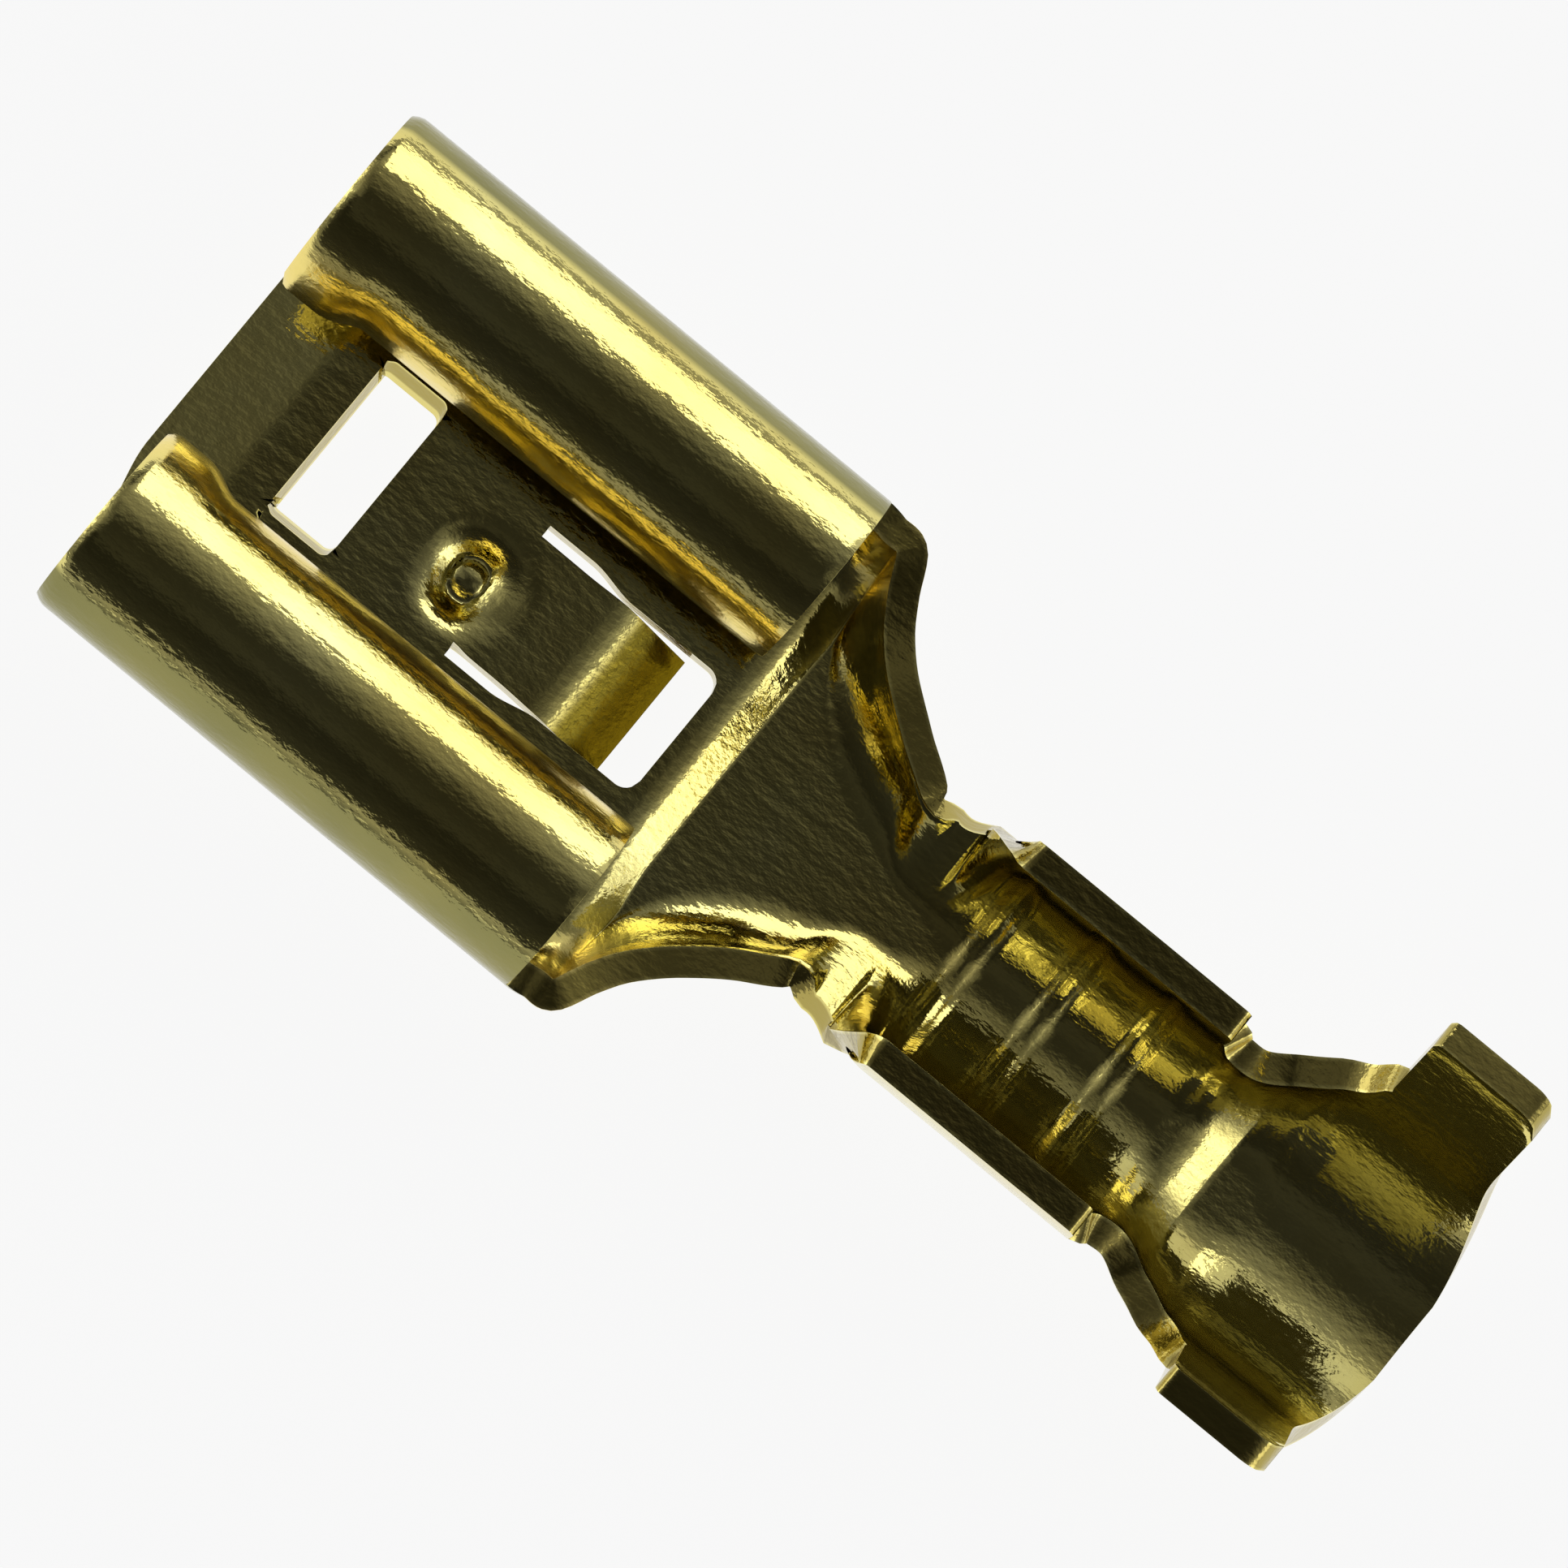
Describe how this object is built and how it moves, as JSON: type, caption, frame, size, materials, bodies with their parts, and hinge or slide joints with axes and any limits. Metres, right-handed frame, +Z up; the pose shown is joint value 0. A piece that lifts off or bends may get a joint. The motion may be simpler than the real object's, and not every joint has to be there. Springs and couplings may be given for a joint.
{
  "type": "female spade terminal",
  "caption": "Uninsulated female spade terminal for a 6.3 by 0.8 mm tab: rolled receptacle with dimple and lance, open wire barrel and insulation barrel.",
  "frame": {"origin": "middle of the overall box in X and Y, on the ground under the part", "axes": "+X along the terminal from the mouth to the wire end, +Z up, away from the floor of the receptacle, +Y across"},
  "size_m": [0.019, 0.0076, 0.0037],
  "materials": {
    "brass": "bright stamped brass strip, smooth rolled faces with fine draw lines and sheared edges"
  },
  "bodies": {
    "root": {"terminal": "brass"}
  },
  "joints": []
}
